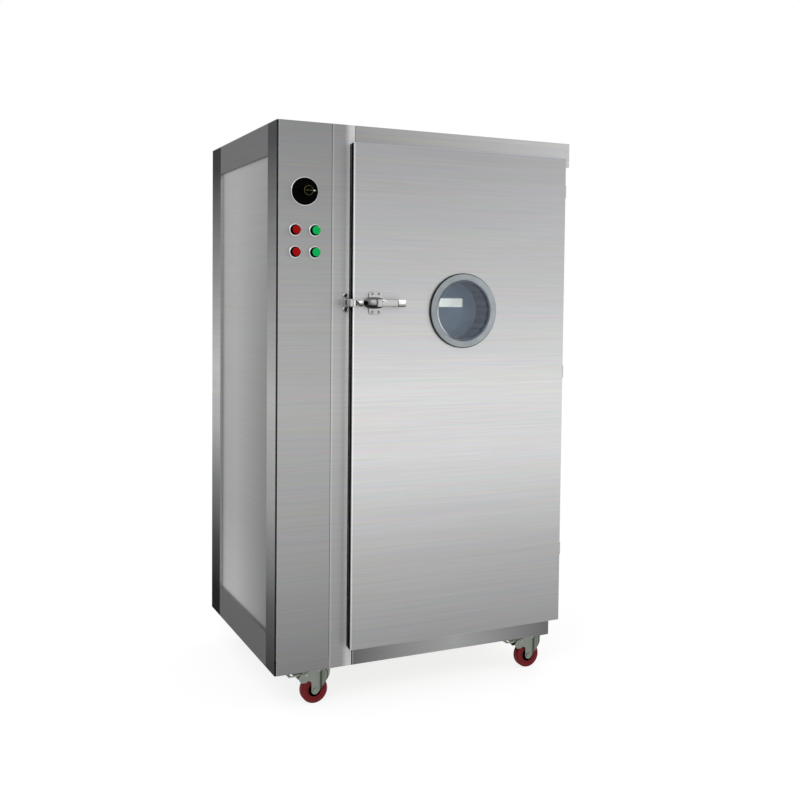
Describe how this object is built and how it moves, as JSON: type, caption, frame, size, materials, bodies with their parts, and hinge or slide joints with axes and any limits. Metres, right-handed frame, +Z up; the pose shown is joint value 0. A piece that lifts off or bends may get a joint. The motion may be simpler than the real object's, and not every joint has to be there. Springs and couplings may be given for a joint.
{
  "type": "disinfection cabinet",
  "caption": "Upright stainless disinfection cabinet on swivel casters, with a lever-latched porthole door, a control column and slide-in shelves.",
  "frame": {"origin": "on the floor, under the middle of the overall bounding box", "axes": "+X to the right along the front, +Y from the front to the back, +Z up"},
  "size_m": [1.08, 0.89, 1.874],
  "materials": {
    "brushed_sheet": "horizontal brushed grain, No. 4",
    "door_sheet": "horizontal brushed grain, brighter",
    "liner_sheet": "cold rolled, smooth",
    "zinc_steel": "bright zinc plating",
    "chrome_casting": "satin chromed die casting",
    "screw_steel": "plain stainless",
    "galvanised_frame": "galvanised",
    "insulation_board": "pressed mineral wool, faced",
    "black_profile": "extruded, matt",
    "gasket_rubber": "soft silicone profile",
    "ring_plastic": "moulded, satin",
    "window_glass": "clear toughened",
    "black_plastic": "moulded, satin",
    "red_plastic": "moulded, glossy",
    "green_plastic": "moulded, glossy",
    "control_plastic": "moulded grey",
    "motor_paint": "powder coat",
    "aluminium_blades": "as rolled",
    "heater_steel": "heat-tinted tube",
    "lamp_glass": "quartz tube with end holders",
    "wheel_rubber": "cast polyurethane, satin",
    "wheel_core": "moulded",
    "gland_plastic": "moulded nylon"
  },
  "bodies": {
    "cabinet": {"base_frame": "galvanised_frame", "left_side_frame": "brushed_sheet", "left_side_panel": "brushed_sheet", "right_side_panel": "brushed_sheet", "back_panel": "brushed_sheet", "top_cover": "brushed_sheet", "plinth_panel": "brushed_sheet", "control_fascia": "brushed_sheet", "door_stile": "brushed_sheet", "chamber_liner": "liner_sheet", "chamber_insulation": "insulation_board", "shelf_racks": "liner_sheet", "duct_panel": "liner_sheet", "fan_motor": "motor_paint", "heater_element": "heater_steel", "ozone_lamp": "lamp_glass", "control_gear": "control_plastic", "cable_gland": "gland_plastic", "hinge_frame_leaves": "chrome_casting", "latch_keeper": "chrome_casting", "body_screws": "screw_steel", "timer_unit": "black_plastic", "button_bodies": "black_plastic", "caster_plates": "zinc_steel"},
    "door": {"hinge_door_leaves": "chrome_casting", "door_outer_panel": "door_sheet", "door_edge_profile": "black_profile", "door_inner_panel": "liner_sheet", "door_insulation": "insulation_board", "door_gasket": "gasket_rubber", "window_ring": "ring_plastic", "window_sleeve": "ring_plastic", "window_panes": "window_glass", "latch_housing": "chrome_casting", "door_screws": "screw_steel"},
    "latch_lever": {"latch_lever": "chrome_casting"},
    "latch_tongue": {"latch_tongue": "chrome_casting"},
    "timer_knob": {"timer_knob": "black_plastic"},
    "fan_rotor": {"fan_rotor": "aluminium_blades"},
    "shelf_1": {"shelf_1": "liner_sheet"},
    "shelf_2": {"shelf_2": "liner_sheet"},
    "shelf_3": {"shelf_3": "liner_sheet"},
    "button_red_upper": {"button_cap_red_upper": "red_plastic"},
    "button_green_upper": {"button_cap_green_upper": "green_plastic"},
    "button_red_lower": {"button_cap_red_lower": "red_plastic"},
    "button_green_lower": {"button_cap_green_lower": "green_plastic"},
    "swivel_front_left": {"caster_fork_front_left": "zinc_steel"},
    "wheel_front_left": {"caster_tyre_front_left": "wheel_rubber", "caster_core_front_left": "wheel_core"},
    "pedal_front_left": {"caster_pedal_front_left": "zinc_steel"},
    "swivel_front_right": {"caster_fork_front_right": "zinc_steel"},
    "wheel_front_right": {"caster_tyre_front_right": "wheel_rubber", "caster_core_front_right": "wheel_core"},
    "pedal_front_right": {"caster_pedal_front_right": "zinc_steel"},
    "swivel_rear_left": {"caster_fork_rear_left": "zinc_steel"},
    "wheel_rear_left": {"caster_tyre_rear_left": "wheel_rubber", "caster_core_rear_left": "wheel_core"},
    "swivel_rear_right": {"caster_fork_rear_right": "zinc_steel"},
    "wheel_rear_right": {"caster_tyre_rear_right": "wheel_rubber", "caster_core_rear_right": "wheel_core"}
  },
  "joints": [
    {"name": "door_hinge", "type": "hinge", "parent": "cabinet", "child": "door", "pos_m": [0.511, -0.379, 1.024], "axis": [0, 0, 1], "range_deg": [0, 115]},
    {"name": "lever_turn", "type": "hinge", "parent": "door", "child": "latch_lever", "pos_m": [-0.218, -0.431, 1.308], "axis": [0, 0, -1], "range_deg": [0, 100]},
    {"name": "tongue_slide", "type": "slide", "parent": "door", "child": "latch_tongue", "axis": [1, 0, 0], "range_m": [0, 0.008]},
    {"name": "timer_turn", "type": "hinge", "parent": "cabinet", "child": "timer_knob", "pos_m": [-0.449, -0.389, 1.656], "axis": [0, 1, 0], "range_deg": [0, 300]},
    {"name": "fan_spin", "type": "hinge", "parent": "cabinet", "child": "fan_rotor", "pos_m": [0.101, 0.256, 1.414], "axis": [0, 1, 0], "continuous": true},
    {"name": "shelf_1_slide", "type": "slide", "parent": "cabinet", "child": "shelf_1", "axis": [0, -1, 0], "range_m": [0, 0.05]},
    {"name": "shelf_2_slide", "type": "slide", "parent": "cabinet", "child": "shelf_2", "axis": [0, -1, 0], "range_m": [0, 0.05]},
    {"name": "shelf_3_slide", "type": "slide", "parent": "cabinet", "child": "shelf_3", "axis": [0, -1, 0], "range_m": [0, 0.05]},
    {"name": "press_red_upper", "type": "slide", "parent": "cabinet", "child": "button_red_upper", "axis": [0, 1, 0], "range_m": [0, 0.0035], "stiffness_N_per_m": 800},
    {"name": "press_green_upper", "type": "slide", "parent": "cabinet", "child": "button_green_upper", "axis": [0, 1, 0], "range_m": [0, 0.0035], "stiffness_N_per_m": 800},
    {"name": "press_red_lower", "type": "slide", "parent": "cabinet", "child": "button_red_lower", "axis": [0, 1, 0], "range_m": [0, 0.0035], "stiffness_N_per_m": 800},
    {"name": "press_green_lower", "type": "slide", "parent": "cabinet", "child": "button_green_lower", "axis": [0, 1, 0], "range_m": [0, 0.0035], "stiffness_N_per_m": 800},
    {"name": "swivel_turn_front_left", "type": "hinge", "parent": "cabinet", "child": "swivel_front_left", "pos_m": [-0.363, -0.317, 0.112], "axis": [0, 0, 1], "continuous": true},
    {"name": "wheel_roll_front_left", "type": "hinge", "parent": "swivel_front_left", "child": "wheel_front_left", "pos_m": [-0.391, -0.317, 0.045], "axis": [0, 1, 0], "continuous": true},
    {"name": "pedal_press_front_left", "type": "hinge", "parent": "swivel_front_left", "child": "pedal_front_left", "pos_m": [-0.421, -0.317, 0.099], "axis": [0, -1, 0], "range_deg": [0, 18]},
    {"name": "swivel_turn_front_right", "type": "hinge", "parent": "cabinet", "child": "swivel_front_right", "pos_m": [0.451, -0.317, 0.112], "axis": [0, 0, 1], "continuous": true},
    {"name": "wheel_roll_front_right", "type": "hinge", "parent": "swivel_front_right", "child": "wheel_front_right", "pos_m": [0.423, -0.317, 0.045], "axis": [0, 1, 0], "continuous": true},
    {"name": "pedal_press_front_right", "type": "hinge", "parent": "swivel_front_right", "child": "pedal_front_right", "pos_m": [0.393, -0.317, 0.099], "axis": [0, -1, 0], "range_deg": [0, 18]},
    {"name": "swivel_turn_rear_left", "type": "hinge", "parent": "cabinet", "child": "swivel_rear_left", "pos_m": [-0.363, 0.357, 0.112], "axis": [0, 0, 1], "continuous": true},
    {"name": "wheel_roll_rear_left", "type": "hinge", "parent": "swivel_rear_left", "child": "wheel_rear_left", "pos_m": [-0.391, 0.357, 0.045], "axis": [0, 1, 0], "continuous": true},
    {"name": "swivel_turn_rear_right", "type": "hinge", "parent": "cabinet", "child": "swivel_rear_right", "pos_m": [0.451, 0.357, 0.112], "axis": [0, 0, 1], "continuous": true},
    {"name": "wheel_roll_rear_right", "type": "hinge", "parent": "swivel_rear_right", "child": "wheel_rear_right", "pos_m": [0.423, 0.357, 0.045], "axis": [0, 1, 0], "continuous": true}
  ],
  "couplings": [
    {"joint": "tongue_slide", "follows": "lever_turn", "m_per_rad": 0.0045836}
  ]
}
